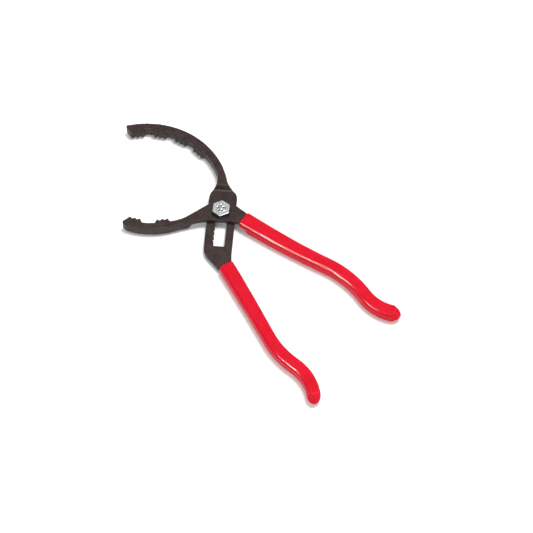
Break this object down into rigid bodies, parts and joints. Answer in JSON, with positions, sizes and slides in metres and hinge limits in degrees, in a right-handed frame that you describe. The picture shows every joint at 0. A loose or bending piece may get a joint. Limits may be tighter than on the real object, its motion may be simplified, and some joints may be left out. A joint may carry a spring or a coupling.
{
  "type": "oil filter wrench",
  "caption": "Slip-joint pliers that grip and turn a round screw-on oil filter, with toothed curved jaws, a slotted adjusting joint and dipped grips.",
  "frame": {"origin": "on the pivot axis, on the back face of the pivot bolt's T-head, with the bolt at the jaw end of the adjusting slot", "axes": "+Z along the pivot bolt towards the nut, +Y along the adjusting slot towards the slotted lever's jaw, +X away from the jaws' mouth"},
  "size_m": [0.2537, 0.2639, 0.0185],
  "materials": {
    "forged_steel": "dark oxide on forged steel, low sheen",
    "red_vinyl": "smooth glossy dipped vinyl",
    "zinc_steel": "bright zinc plate",
    "spring_steel": "black phosphate on spring steel"
  },
  "bodies": {
    "slotted_half": {"slotted_lever": "forged_steel", "slotted_lever_grip": "red_vinyl"},
    "joint_washer": {"friction_washer": "spring_steel"},
    "bolt_group": {"pivot_bolt": "zinc_steel", "hex_nut": "zinc_steel", "spring_washer": "spring_steel"},
    "pivot_half": {"pivot_lever": "forged_steel", "pivot_lever_grip": "red_vinyl"}
  },
  "joints": [
    {"name": "size_slide", "type": "slide", "parent": "slotted_half", "child": "joint_washer", "axis": [0, -1, 0], "range_m": [0, 0.0235]},
    {"name": "rack_latch", "type": "slide", "parent": "joint_washer", "child": "bolt_group", "axis": [-1, 0, 0], "range_m": [0, 0.00135]},
    {"name": "lever_hinge", "type": "hinge", "parent": "bolt_group", "child": "pivot_half", "pos_m": [0, 0, 0.0106], "axis": [0, 0, 1], "range_deg": [-20, 34]}
  ]
}
